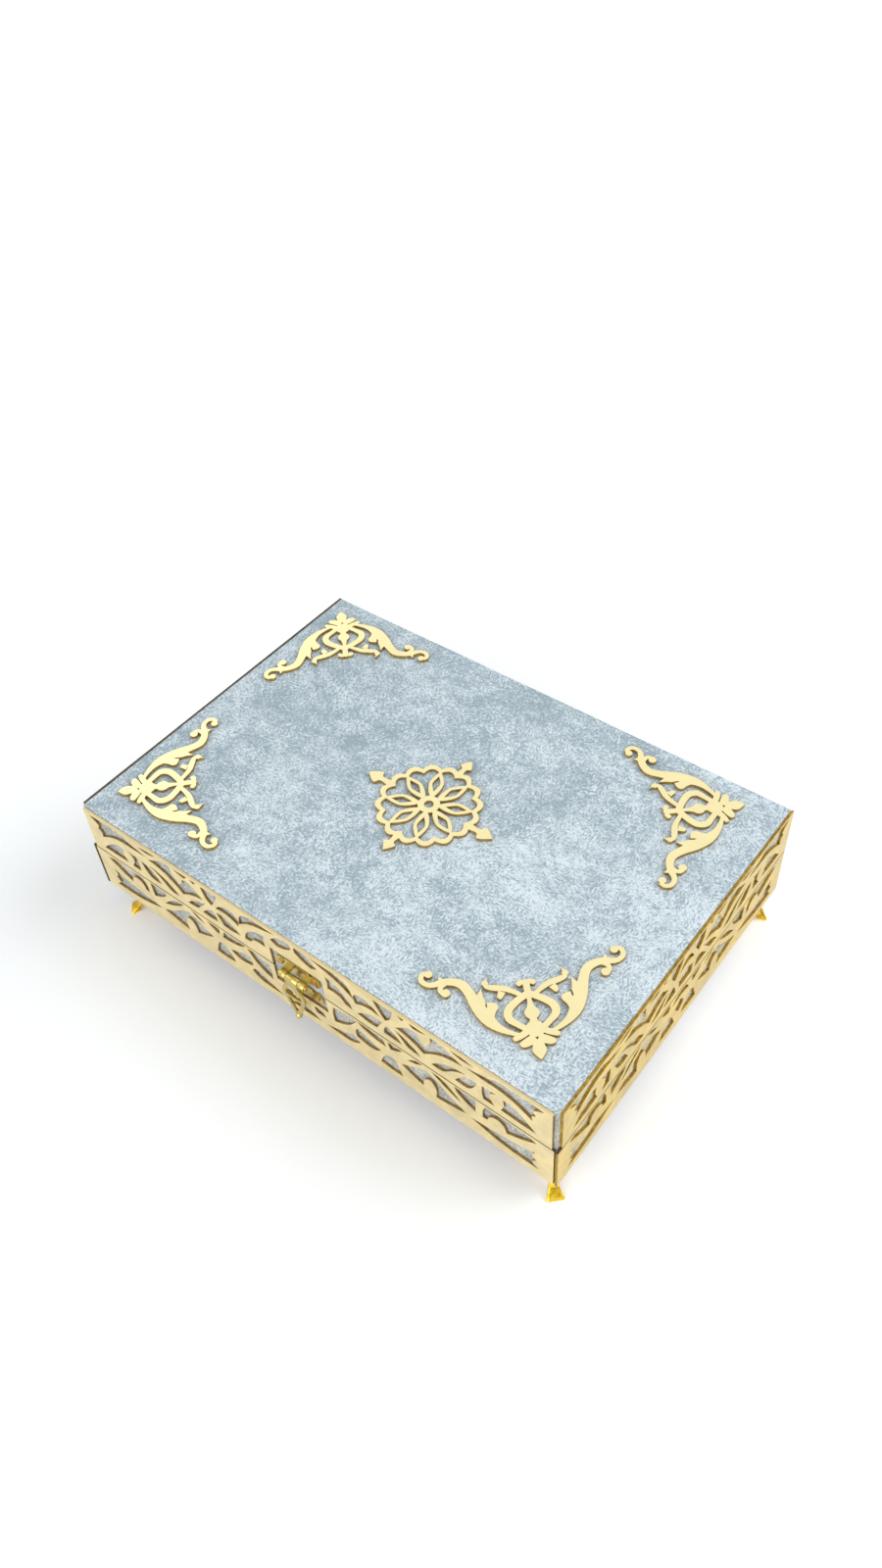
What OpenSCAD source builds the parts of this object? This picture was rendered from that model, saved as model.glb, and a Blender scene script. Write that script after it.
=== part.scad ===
// Velvet-covered keepsake book box on four metal feet: gold fretwork on the front and sides,
// scroll ornaments on the lid, two hinges at the back and a swinging clasp at the front.
// Millimetres. +Z is up, X runs along the long side, the clasp is at -Y and the hinges at +Y.
// The origin is on the floor, under the middle of the whole box.

/* [Box] */
// Length across the left and right fretwork faces
box_l = 320; // [290:1:360]
// Depth from the front fretwork face to the velvet at the back
box_w = 221; // [200:1:260]
// Height of the base, from its underside to the parting plane
base_h = 34; // [30:0.5:50]
// Height of the lid, from the parting plane to the velvet on top
lid_h = 33; // [30:0.5:50]
// Gap between the rims of the closed base and lid
rim_gap = 0.4; // [0.2:0.1:0.8]

/* [Boards] */
// Thickness of the wall boards
board_t = 5; // [4:0.5:8]
// Thickness of the floor board
floor_t = 4; // [3.5:0.5:6]
// Thickness of the lid's top board
top_t = 4; // [3:0.5:6]

/* [Velvet and lining] */
// Thickness of the outer velvet, pile included
velvet_t = 1.2; // [0.8:0.1:1.8]
// Radius of the velvet over the lid's top edges
velvet_round = 1.2; // [0.8:0.1:2]
// Thickness of the lining on the inner walls
lining_t = 1; // [0.6:0.1:2]
// Thickness of the floor pad and of the pad under the lid
pad_t = 4; // [2:0.5:8]
// Room between a pad and the lining round it
pad_gap = 0.4; // [0.2:0.1:1]

/* [Fretwork] */
// Thickness of a fretwork panel
fret_t = 1.4; // [1:0.1:2.4]
// Least width of the solid border round a panel
fret_border = 1.5; // [1:0.1:2.4]
// Gap between the lid's panels and the base's panels
fret_gap = 0.8; // [0.6:0.1:1.5]
// How far the lid panels' upper edge lies below the velvet on top
fret_drop = 0.8; // [0:0.1:2]
// Velvet left bare at the lid's front corners, on each side of the corner
corner_bare = 2; // [0.5:0.25:4]
// Gap between the base's front panel and its side panels
corner_gap = 0.8; // [0.2:0.1:2]
// Room between the clasp and the window that is cut for it
window_gap = 2.6; // [1.5:0.1:4]
// Width of the band round the window
window_band = 3; // [2:0.25:4]

/* [Lid ornaments] */
// Thickness of the corner and centre ornaments
orn_t = 2; // [1.5:0.25:3]
// Length of a corner ornament's arm
orn_size = 74; // [60:1:80]
// Distance of the left ornaments from the left fretwork face
orn_left = 11.5; // [8:0.5:24]
// Distance of the right ornaments from the right fretwork face
orn_right = 21.5; // [8:0.5:26]
// Distance of the front ornaments from the front fretwork face
orn_front = 18; // [8:0.5:24]
// Distance of the back ornaments from the back velvet
orn_back = 12; // [8:0.5:24]
// Tilt of the back right ornament, which was set by hand
orn_tilt = 2.5; // [0:0.5:4]
// Length of the centre ornament along the box
medal_l = 85; // [60:1:100]
// Width of the centre ornament across the box
medal_w = 78; // [60:1:90]

/* [Feet] */
// Height of a foot
foot_h = 18; // [14:0.5:26]
// Side of a foot's corner plate
foot_plate = 24; // [20:0.5:30]
// Thickness of a foot's corner plate
foot_plate_t = 1.4; // [1:0.1:2]
// Radius of the hollow in a foot's plate
foot_hollow = 13; // [10:0.5:16]
// Distance of a foot's plate from the two faces at its corner
foot_edge = 4; // [3:0.5:8]
// Distance of a toe's tip from the two faces at its corner
foot_inset = 0.6; // [0:0.2:4]
// Width of a toe
toe_w = 9.4; // [8:0.2:14]
// Thickness of a toe at its tip
toe_h = 1.5; // [1:0.1:2.5]
// Length of a toe's flat upper side
toe_step = 3.4; // [2:0.2:5]
// Length of a foot's sole
sole_l = 8; // [6:0.5:10]
// Width of a leg at its waist
waist_w = 5; // [4:0.2:8]
// Depth of a leg at its waist
waist_l = 4.4; // [3:0.2:7]
// Width of a leg under its plate
leg_top_w = 11; // [9:0.5:16]
// Depth of a leg under its plate
leg_top_l = 8; // [6:0.5:10]
// How far a leg leans inward from its toe's tip to its plate
leg_lean = 10; // [7:0.5:12]
// How far the front left foot sits nearer the middle of the front
foot_slip = 13; // [0:0.5:20]
// How far the back right foot sits nearer the middle of its side
foot_slip_back = 6; // [0:0.5:20]
// Radius of a foot screw's shank
foot_screw_r = 1.2; // [0.8:0.1:1.6]
// Radius of a foot screw's head
foot_head_r = 2.2; // [1.8:0.1:2.8]
// Height of a foot screw's head
foot_head_h = 1.3; // [0.8:0.1:2]

/* [Hinges] */
// Distance of a hinge from the middle of the box
hinge_x = 95; // [60:1:110]
// Length of a hinge along its pin
hinge_l = 28; // [20:1:40]
// Height of a hinge leaf below or above the pin
leaf_h = 13; // [11:0.5:16]
// Thickness of a hinge leaf
leaf_t = 1; // [0.8:0.1:1.5]
// Radius of a hinge barrel
barrel_r = 2.25; // [1.8:0.05:3]
// Radius of a hinge pin
hinge_pin_r = 1; // [0.8:0.05:1.3]
// Radial clearance of a pin in a knuckle
pin_fit = 0.05; // [0.02:0.01:0.08]
// Gap between neighbouring knuckles
knuckle_gap = 0.3; // [0.2:0.05:0.5]
// Distance of a barrel from the velvet behind it
barrel_clear = 0.35; // [0.3:0.05:0.6]

/* [Clasp] */
// Width of the middle of the clasp's plates, between the ears
plate_w = 17; // [15:0.5:20]
// Height of the clasp's plates
plate_h = 9; // [8:0.5:10]
// Thickness of the clasp's plates
plate_t = 1; // [0.8:0.1:1.4]
// Radius of a plate's ears
ear_r = 4; // [3.5:0.25:5]
// Distance of an ear's middle from the plate's middle part
ear_out = 3; // [2.5:0.25:3.25]
// Height of the clasp's pin above the parting plane
pivot_up = 5.5; // [4.5:0.25:7]
// Radius of the clasp's barrel
clasp_barrel_r = 2; // [1.7:0.05:2.4]
// Room between the clasp's barrel and its plate, which lets the loop tilt in over the knob
clasp_clear = 2.2; // [1.8:0.1:3]
// Radius of the clasp's pin
clasp_pin_r = 0.8; // [0.6:0.05:1]
// Length of the loop's own knuckle
loop_knuckle = 8; // [6:0.5:9]
// Length of the loop's neck below the pin
loop_neck = 4; // [3.5:0.25:5]
// Distance from the pin to the loop's tip
loop_len = 31; // [29:0.5:33]
// Half of the loop's width
loop_half = 7.8; // [7:0.1:9]
// Width of the loop's band
loop_band = 2.4; // [2:0.1:2.8]
// Thickness of the loop
loop_t = 1.4; // [1:0.1:2]
// Radius of the bead at the loop's tip
bead_r = 1.9; // [1.5:0.1:2.4]
// Width of the loop's cross bar, which closes under the knob
bar_w = 2; // [1.6:0.1:2.6]
// Room between the knob and the cross bar
bar_room = 0.4; // [0.3:0.1:0.8]
// Distance of the catch's plate below the parting plane
catch_drop = 1.5; // [1:0.25:2.5]
// Radius of the catch's knob
knob_r = 1.6; // [1.3:0.1:2]
// Radius of the knob's stem
stem_r = 1; // [0.8:0.1:1.2]
// Gap between the knob and the free loop in front of it
knob_gap = 0.25; // [0.2:0.05:0.4]

/* [Small screws] */
// Radius of a hinge or clasp screw's shank
screw_r = 0.9; // [0.7:0.05:1.1]
// Radius of a hinge or clasp screw's head
head_r = 1.8; // [1.5:0.1:2.2]
// Height of a hinge or clasp screw's head
head_h = 0.9; // [0.6:0.1:1.2]
// Length of a hinge or clasp screw in its board
screw_l = 3; // [2:0.25:3.5]
// Radial clearance of a shank in its hole
screw_fit = 0.05; // [0.02:0.01:0.1]
// Width of the driver slot in a small screw's head
slot_w = 0.5; // [0.4:0.05:0.8]
// Depth of the driver slot in a small screw's head
slot_depth = 0.4; // [0.2:0.05:0.5]

/* [Hidden] */

$fn = 48;
eps = 0.01;

// Clasp, measured from the velvet of the front wall
pivot_out = plate_t + clasp_clear + clasp_barrel_r;
loop_off = clasp_barrel_r - loop_t / 2;
knob_out = pivot_out + loop_off - loop_t / 2 - knob_gap;
loop_reach = pivot_out + loop_off + bead_r - fret_t;
ear_x = plate_w / 2 + ear_out;
clasp_w = 2 * (ear_x + ear_r);
plate_low = pivot_up - clasp_barrel_r;
plate_high = plate_low + plate_h;
catch_low = -catch_drop - plate_h;
knob_down = pivot_up + catch_drop + plate_h / 2;
bar_down = knob_down + knob_r + bar_room;

// Hinges, measured from the velvet of the back wall
axis_out = barrel_r + barrel_clear;
hinge_reach = axis_out + barrel_r;

// Levels above the floor
base_z = foot_h;
floor_top = base_z + floor_t;
part_z = base_z + base_h;
base_rim = part_z - rim_gap / 2;
base_wall_top = base_rim - velvet_t;
lid_rim = part_z + rim_gap / 2;
lid_wall_low = lid_rim + velvet_t;
top_z = part_z + lid_h;
top_board_z = top_z - velvet_t;
lid_wall_top = top_board_z - top_t;

// Faces along Y, with the whole box centred between the clasp's bead and the hinge barrels
box_y = (loop_reach - hinge_reach) / 2;
y_front = box_y - box_w / 2;
y_back = box_y + box_w / 2;
y_velvet = y_front + fret_t;
y_board_front = y_velvet + velvet_t;
y_board_back = y_back - velvet_t;
y_mid = (y_velvet + y_back) / 2;
hinge_y = y_back + axis_out;
pivot_y = y_velvet - pivot_out;
pivot_z = part_z + pivot_up;

// Half lengths along X
x_velvet = box_l / 2 - fret_t;
x_board = x_velvet - velvet_t;

// The drawing of the fretwork: an opening is a list of [x, y] points, with x from the panel's outer end
// and y down from its upper edge. A point that ends in 1 is a sharp tip, and the rest are smooth.
draw_front = 158;
draw_side = 109.5;
draw_lid_h = 33;
draw_base_h = 33.6;

lid_openings = [
    [[4.5, 2.6, 1], [10, 1.9], [20, 1.8], [30, 2], [35, 4.6], [41, 6.4], [49, 8.2, 1], [40, 9.2], [32, 9.2],
     [25, 10.2], [18, 13], [11, 17.4, 1], [11.4, 13.4], [9, 11, 1], [10.8, 8], [8.6, 5.4]],
    [[44, 3.4, 1], [51, 1.7], [58, 1.7, 1], [52, 4]],
    [[50.5, 9.4, 1], [56, 6.6], [61, 3.6], [66, 2.2], [69.6, 2.6, 1], [69.4, 6], [70.6, 10], [73.6, 14.6, 1],
     [76.6, 11], [77.4, 7.6, 1], [81, 6.6], [85, 8.6], [88, 11.4], [91.5, 14.6, 1], [86, 16], [80, 18.6],
     [74.6, 22.4, 1], [70, 17.8], [64, 13.4], [58, 11]],
    [[71.6, 2, 1], [82.4, 1.7, 1], [80, 4.2], [75.6, 3.6]],
    [[85, 1.7, 1], [89.4, 1.7, 1], [87, 4, 1]],
    [[92.6, 1.8, 1], [104.6, 1.8, 1], [103, 6], [100.6, 10.6], [98, 14.4, 1], [94.6, 10]],
    [[9, 27.8, 1], [14, 22.6], [19, 18.6], [24.4, 16], [27.6, 17, 1], [27, 22], [29, 27.4, 1], [18, 28]],
    [[31.6, 15.4, 1], [36, 16.2], [39.6, 16, 1], [39.8, 22], [39, 27.8, 1], [32.6, 27.8, 1], [35.4, 22.6],
     [35, 18.4]],
    [[42.6, 16.6, 1], [47.6, 17.6], [52.4, 21.6], [56, 27.6, 1], [48.6, 27.6], [44.8, 23]],
    [[49, 15.4, 1], [55, 16.6], [61, 19], [66, 22.6], [70.4, 27.6, 1], [63.6, 27.4], [58, 21.6], [53.6, 18]],
    [[77, 27.8, 1], [81, 23.6], [87, 19.8], [92.4, 17.6, 1], [88.6, 22], [84.6, 26.8]],
    [[88.4, 27.8, 1], [92.6, 22.8], [97.4, 19.6, 1], [99.4, 23], [100, 27.6, 1], [94, 28]]
];
lid_openings_front = [
    [[101.4, 14.4, 1], [104.6, 10.4], [109, 7.8], [114, 7.4], [117.4, 9.4], [118.6, 13], [117.6, 17.4, 1],
     [112.6, 14.6], [107, 13.4]],
    [[118.8, 14.4, 1], [119.8, 8.4], [122.6, 4.2], [127, 1.9], [136, 1.7], [146.5, 1.8, 1], [137, 4.6],
     [129, 7.2], [123, 10.8]],
    [[137, 10.6, 1], [131, 12], [126, 15.4], [122.4, 20], [120.6, 25.8, 1], [125, 25.2, 1], [127.4, 21.8],
     [131.4, 20.6], [136.4, 20.8, 1], [136, 15]],
    [[142, 9, 1], [146.4, 11.6, 1], [152, 9.6], [156.6, 6.2, 1], [156.4, 2], [150, 1.8], [146, 4.6]],
    [[100.4, 18.6, 1], [106, 18.4], [111.6, 21], [117.4, 26, 1], [111, 27.6], [104.6, 27.2, 1], [102.6, 23]]
];
lid_openings_side = [
    [[102.6, 14, 1], [105.6, 8.6], [109.5, 6.4, 1], [113.4, 8.6], [116.4, 14, 1], [109.5, 11.6]],
    [[102.6, 20.6, 1], [109.5, 17, 1], [116.4, 20.6, 1], [115.4, 27.8, 1], [103.6, 27.8, 1]]
];
base_openings = [
    [[9.6, 3.6, 1], [16, 1.8], [28, 1.5], [39, 1.5, 1], [40.6, 6], [41, 12.8, 1], [38.2, 12.4, 1], [37.2, 9],
     [34.4, 6.6], [31, 6.4], [28.2, 8.8], [26.8, 13.2, 1], [20.6, 10.4], [14.6, 7]],
    [[44.8, 1.6, 1], [57.6, 1.5, 1], [56, 5.4], [51, 9.4], [45.4, 12.6, 1], [45, 6]],
    [[53.6, 13.2, 1], [60, 6.6], [66, 2.6], [71.6, 1.9, 1], [67, 5.6], [60.6, 10]],
    [[77, 1.5, 1], [81.6, 2], [87, 6.6, 1], [82, 5]],
    [[89.6, 1.5, 1], [98.6, 1.5, 1], [98.8, 4.4], [97.6, 7.2, 1], [93.6, 5]],
    [[10.6, 13.6, 1], [16, 15.6], [24, 17.8], [33, 19.6], [48.4, 21.6, 1], [40, 24.6], [32, 26.8], [22, 28],
     [8.4, 28.2, 1], [12.4, 24.4], [10, 21, 1], [12.4, 17.6]],
    [[51, 20.8, 1], [58, 16.8], [64, 12.4], [69.6, 8], [75, 5, 1], [80.4, 7.6], [85.6, 11], [91.6, 14.8, 1],
     [85, 18.8], [77.8, 21.8, 1], [77.4, 17], [75.6, 13.4], [73.2, 12], [70.8, 14], [69.4, 18.6],
     [70, 25.2, 1], [62, 23.9], [56, 22.4]],
    [[91.6, 27.4, 1], [93.4, 21.6], [95.4, 16.6], [98, 14.8, 1], [101.4, 16.6], [104, 21], [106, 26.6, 1],
     [99, 27.6]]
];
base_openings_front = [
    [[100.8, 7.6, 1], [102, 4], [104, 1.6], [119, 1.5, 1], [114, 5], [107, 7.2]],
    [[119.6, 2, 1], [126, 1.6], [135.4, 4, 1], [136.4, 10], [136, 17.2, 1], [130, 14.2], [124.4, 9.6]],
    [[104.8, 15.4, 1], [110, 13.4], [115.4, 10.4], [119.4, 8.8, 1], [121.4, 12.4], [121, 17.4, 1],
     [113.6, 19.4], [108.6, 18.6]],
    [[119.6, 22.8, 1], [121.6, 19.6], [125, 19], [131, 22.4], [143, 26.8, 1], [133, 27.6], [125, 26.6]],
    [[142.6, 20.6, 1], [145, 15.6], [149.6, 15.4, 1], [150.4, 18], [149, 20.8, 1]],
    [[147.5, 27.4, 1], [152, 24.4], [158, 23.2], [164, 24.4], [168.5, 27.4, 1], [158, 28.2]]
];
base_openings_side = [
    [[101.4, 7.4, 1], [104.6, 2.6], [109.5, 1.5], [114.4, 2.6], [117.6, 7.4, 1], [109.5, 5.6]],
    [[105.4, 14.6], [109.5, 9.4, 1], [113.6, 14.6], [109.5, 20.4, 1]]
];

// The drawing of a corner ornament, for an arm of this length. Points count from the outer corner along
// the two edges, a ribbon's third number is its width, and the drawing is mirrored on the diagonal.
draw_orn = 73.6;
orn_ribbons = [
    [[14.8, 6.2, 1.6], [19, 4.2, 2.2], [26, 2.7, 3.8], [33, 3.5, 6.2], [41, 6.3, 6.2],
     [48, 9.6, 4.8], [54, 11.5, 4.6], [59, 9.8, 4], [62.5, 6.8, 3.6], [64.6, 3.7, 3],
     [67.2, 1.8, 2.6], [70.6, 1.8, 2.6], [72.6, 4.2, 2.5], [72, 6.6, 2.4]],
    [[60.8, 8, 3], [61.2, 5, 2.6], [60.2, 2.9, 2.4], [58, 2.3, 2.3]],
    [[14.2, 10.5, 3.4], [14.9, 6.6, 3.2], [16.2, 3.2, 2.8], [16.9, 1.6, 1.8]],
    [[14.5, 9.8, 3], [20, 9.4, 3], [25, 9.5, 3.8], [28, 13.2, 3.9],
     [27.8, 19, 3.6], [26.6, 24, 3.4], [26, 28, 2.8]],
    [[27, 23.2, 2.4], [31, 22.8, 2.4], [36, 21.6, 3], [40.5, 19, 3.2], [44, 17.4, 2.4], [46, 19, 2]],
    [[12.5, 12.5, 4], [17, 17, 3.4], [19, 19, 5], [22.4, 22.4, 2.4], [26, 26, 2.2]],
    [[26, 26, 3], [29.5, 29.5, 3.2], [31.6, 31.6, 1.4]],
    [[28.6, 28.6, 2.4], [32, 29.6, 2], [33, 27.8, 1.8]]
];
orn_beads = [
    [70.4, 6.8, 2], [57.3, 3.2, 2.2], [12.3, 12.3, 4.4],
    [18.4, 18.4, 3.5], [45.6, 18.4, 1.6], [32.5, 27.8, 1.4]
];
orn_leaves = [
    [[62, 8.6, 1], [65.8, 8.9, 1], [63.6, 5.5, 1]],
    [[45.2, 15, 1], [44.8, 11.5], [44.4, 8.4, 1], [38, 5, 1], [35, 4.6, 1], [39.8, 10.8, 1], [42.4, 12.4]],
    [[38.4, 10.6, 1], [34.4, 5, 1], [28.3, 4.2, 1], [30.6, 5.9],
     [32, 8.6], [32.5, 11.2], [34.2, 12.5], [36.4, 12]],
    [[11.8, 9, 1], [13, 5], [13.5, 1.9], [11.8, 0.8], [9.9, 2], [8.4, 4.9, 1], [8.2, 8.2, 1]],
    [[8.2, 8.2, 1], [8.4, 4.7, 1], [6.3, 1.8], [3, 1], [0.9, 0.9, 1]],
    [[38, 18.8, 1], [36.4, 15.6, 1], [34.2, 15.8], [34.6, 20, 1]],
    [[45.2, 19.2, 1], [46.8, 21.8, 1], [47, 18.4, 1]]
];

// The drawing of the centre ornament: a lobed ring round open petals, with four finials. The upper half
// of each petal and finial is drawn, along x, and its lower half is the mirror image.
draw_medal_l = 85;
draw_medal_w = 78;
medal_petals = 8;
medal_lobes = 16;
lobe_steps = 6;
medal_ring = 26.6;
medal_ring_band = 3.4;
medal_lobe_h = 3;
medal_boss = 6.2;
medal_eye = 2.6;
petal_out = [[4, 0, 1], [9, 2.7], [15, 4.1], [20, 2.8], [25.2, 0, 1]];
petal_in = [[9.5, 0, 1], [13, 1.5], [16, 2.1], [21, 0, 1]];
finial_x = [[25.4, 2.6, 1], [33, 1.5], [35, 4.4], [38, 3.4], [42.5, 0, 1]];
finial_y = [[25.4, 2.6, 1], [31.4, 1.4], [33.2, 3.6], [35.6, 2.6], [39, 0, 1]];

// Curves through hand-set points
function flat(p) = [p[0], p[1]];
function tip(p) = p[2] == 1;
function cubic(a, b, ma, mb, t) =
    (2 * t * t * t - 3 * t * t + 1) * a + (t * t * t - 2 * t * t + t) * ma
    + (3 * t * t - 2 * t * t * t) * b + (t * t * t - t * t) * mb;
function side_slope(p, i, chord) =
    let (n = len(p), before = p[(i + n - 1) % n], after = p[(i + 1) % n])
    tip(p[i]) ? chord : (flat(after) - flat(before)) / 2;

// A closed curve: smooth through plain points, with a corner at each tip
function closed_curve(p, steps = 3) = [
    for (i = [0 : len(p) - 1])
        let (k = (i + 1) % len(p), a = flat(p[i]), b = flat(p[k]), chord = b - a)
        let (ma = side_slope(p, i, chord), mb = side_slope(p, k, chord))
        for (s = [0 : steps - 1]) cubic(a, b, ma, mb, s / steps)
];

// An open curve through [x, y, width] points, and its direction at each end and middle point
function open_slope(p, i) =
    i == 0 ? p[1] - p[0] : i == len(p) - 1 ? p[i] - p[i - 1] : (p[i + 1] - p[i - 1]) / 2;
function open_curve(p, steps = 3) = concat(
    [for (i = [0 : len(p) - 2]) for (s = [0 : steps - 1])
        cubic(p[i], p[i + 1], open_slope(p, i), open_slope(p, i + 1), s / steps)],
    [p[len(p) - 1]]
);
function ribbon_edge(c, i, side) =
    let (d = flat(c[min(i + 1, len(c) - 1)]) - flat(c[max(i - 1, 0)]), n = [-d[1], d[0]] / norm(d))
    flat(c[i]) + side * n * c[i][2] / 2;

module ribbon(path) {
    c = open_curve(path);
    for (i = [0 : len(c) - 2])
        polygon([
            ribbon_edge(c, i, 1), ribbon_edge(c, i + 1, 1),
            ribbon_edge(c, i + 1, -1), ribbon_edge(c, i, -1)
        ]);
}

// Makes one outline of shapes that overlap
module merged() {
    offset(delta = eps) children();
}

// Fretwork: a bordered sheet with the drawn openings at both ends, and a window for the clasp
module fret_openings(list, len, h, draw_len, draw_h) {
    intersection() {
        translate([-len / 2 + fret_border, fret_border]) square([len - 2 * fret_border, h - 2 * fret_border]);
        for (m = [0, 1]) mirror([m, 0]) translate([-len / 2, h])
            for (o = list)
                polygon([for (q = closed_curve(o)) [q[0] * len / 2 / draw_len, -q[1] * h / draw_h]]);
    }
}

module fret_sheet(list, len, h, draw_len, draw_h, window = [0, 0]) {
    w = clasp_w / 2 + window_gap;
    band = window[1] > window[0] ? window_band : 0;
    merged() difference() {
        union() {
            difference() {
                translate([-len / 2, 0]) square([len, h]);
                fret_openings(list, len, h, draw_len, draw_h);
            }
            if (band > 0) intersection() {
                translate([-w - band, window[0] - band])
                    square([2 * (w + band), window[1] - window[0] + 2 * band]);
                translate([-len / 2, 0]) square([len, h]);
            }
        }
        if (band > 0) translate([-w, window[0]]) square([2 * w, window[1] - window[0]]);
    }
}

side_len = y_back - y_velvet;
base_panel_h = base_h - fret_gap / 2;
lid_panel_h = lid_h - fret_gap / 2 - fret_drop;
lid_panel_z = part_z + fret_gap / 2;
lid_window = [-eps, plate_high + window_gap - fret_gap / 2];
base_window = [base_h + catch_low - window_gap, base_panel_h + eps];

module on_front(z) {
    translate([0, y_velvet, z]) rotate([90, 0, 0]) linear_extrude(fret_t) children();
}

// lap is how far the panel reaches past the velvet at the front
module on_side(side, z, lap) {
    x = side > 0 ? x_velvet : -x_velvet - fret_t;
    translate([x, y_mid - lap / 2, z]) rotate([90, 0, 90]) linear_extrude(fret_t) children();
}

module base_fret_front() {
    color("#e4c58a") on_front(base_z)
        fret_sheet(concat(base_openings, base_openings_front), 2 * (x_velvet - corner_gap), base_panel_h,
                   draw_front, draw_base_h, base_window);
}

module base_fret_side(side) {
    color("#e4c58a") on_side(side, base_z, fret_t)
        fret_sheet(concat(base_openings, base_openings_side), side_len + fret_t, base_panel_h,
                   draw_side, draw_base_h);
}

module lid_fret_front() {
    color("#e8cb92") on_front(lid_panel_z)
        fret_sheet(concat(lid_openings, lid_openings_front), 2 * (x_velvet - corner_bare), lid_panel_h,
                   draw_front, draw_lid_h, lid_window);
}

module lid_fret_side(side) {
    color("#e8cb92") on_side(side, lid_panel_z, -corner_bare)
        fret_sheet(concat(lid_openings, lid_openings_side), side_len - corner_bare, lid_panel_h,
                   draw_side, draw_lid_h);
}

// Lid ornaments
module half_ornament() {
    for (r = orn_ribbons) ribbon(r);
    for (b = orn_beads) translate(flat(b)) circle(b[2], $fn = 20);
    for (f = orn_leaves) polygon(closed_curve(f));
}

module ornament() {
    linear_extrude(orn_t) merged() scale(orn_size / draw_orn) {
        half_ornament();
        mirror([1, -1]) half_ornament();
    }
}

// side_x and side_y are -1 or 1: which corner of the lid the ornament lies in
module lid_corner(side_x, side_y, tilt = 0) {
    x = side_x < 0 ? -box_l / 2 + orn_left : box_l / 2 - orn_right;
    y = side_y < 0 ? y_front + orn_front : y_back - orn_back;
    color("#ecd086") translate([x, y, top_z]) rotate(tilt)
        mirror([side_x > 0 ? 1 : 0, 0]) mirror([0, side_y > 0 ? 1 : 0]) ornament();
}

function both_halves(p) =
    concat(p, [for (i = [len(p) - 1 : -1 : 0]) if (p[i][1] > 0) [p[i][0], -p[i][1], p[i][2]]]);
function lobed(r, depth, n, steps) = [
    for (i = [0 : n * steps - 1])
        let (t = 360 * i / (n * steps), q = r + depth * abs(sin(n * t / 2)))
        q * [cos(t), sin(t)]
];

module medal_drawing() {
    difference() {
        polygon(lobed(medal_ring, medal_lobe_h, medal_lobes, lobe_steps));
        polygon(lobed(medal_ring - medal_ring_band, medal_lobe_h, medal_lobes, lobe_steps));
    }
    for (i = [0 : medal_petals - 1]) rotate((i + 0.5) * 360 / medal_petals) difference() {
        polygon(closed_curve(both_halves(petal_out)));
        polygon(closed_curve(both_halves(petal_in)));
    }
    difference() {
        circle(medal_boss, $fn = 32);
        circle(medal_eye, $fn = 24);
    }
    for (a = [0, 180]) rotate(a) polygon(closed_curve(both_halves(finial_x)));
    for (a = [90, 270]) rotate(a) polygon(closed_curve(both_halves(finial_y)));
}

module lid_medallion() {
    color("#ecd086") translate([0, y_mid, top_z]) linear_extrude(orn_t) merged()
        scale([medal_l / draw_medal_l, medal_w / draw_medal_w]) medal_drawing();
}

// Boards, velvet and linings
module block(x0, x1, y0, y1, z0, z1) {
    translate([x0, y0, z0]) cube([x1 - x0, y1 - y0, z1 - z0]);
}

module front_board(z0, z1) {
    block(-x_board, x_board, y_board_front, y_board_front + board_t, z0, z1);
}

module back_board(z0, z1) {
    block(-x_board, x_board, y_board_back - board_t, y_board_back, z0, z1);
}

module side_board(side, z0, z1) {
    x = side > 0 ? x_board - board_t : -x_board;
    block(x, x + board_t, y_board_front + board_t, y_board_back - board_t, z0, z1);
}

module boards_space(z0, z1) {
    block(-x_board, x_board, y_board_front, y_board_back, z0, z1);
}

module inner_walls_space(z0, z1) {
    b = board_t;
    block(-x_board + b, x_board - b, y_board_front + b, y_board_back - b, z0, z1);
}

module cavity(z0, z1, room = 0) {
    b = board_t + lining_t + room;
    block(-x_board + b, x_board - b, y_board_front + b, y_board_back - b, z0, z1);
}

module base_floor() {
    color("#8a6a45") difference() {
        boards_space(base_z, floor_top);
        foot_screw_holes();
    }
}

module base_front_board() {
    color("#9b7a52") difference() {
        front_board(floor_top, base_wall_top);
        catch_screw_holes();
    }
}

module base_back_board() {
    color("#9b7a52") difference() {
        back_board(floor_top, base_wall_top);
        hinge_screw_holes(-1);
    }
}

module base_side_board(side) {
    color("#9b7a52") side_board(side, floor_top, base_wall_top);
}

// The wrap goes round the walls and over the rim
module base_velvet() {
    color("#9fb3c4") difference() {
        block(-x_velvet, x_velvet, y_velvet, y_back, base_z, base_rim);
        boards_space(base_z - eps, base_wall_top);
        cavity(base_wall_top - eps, base_rim + eps);
        catch_screw_holes();
        hinge_screw_holes(-1);
    }
}

module wall_lining(z0, z1) {
    difference() {
        inner_walls_space(z0, z1);
        cavity(z0 - eps, z1 + eps);
    }
}

module base_lining() {
    color("#a9bccb") wall_lining(floor_top, base_wall_top);
}

module base_pad() {
    color("#b3c4d1") cavity(floor_top, floor_top + pad_t, pad_gap);
}

module lid_top_board() {
    color("#9b7a52") boards_space(lid_wall_top, top_board_z);
}

module lid_front_board() {
    color("#9b7a52") difference() {
        front_board(lid_wall_low, lid_wall_top);
        plate_screw_holes();
    }
}

module lid_back_board() {
    color("#9b7a52") difference() {
        back_board(lid_wall_low, lid_wall_top);
        hinge_screw_holes(1);
    }
}

module lid_side_board(side) {
    color("#9b7a52") side_board(side, lid_wall_low, lid_wall_top);
}

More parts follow.
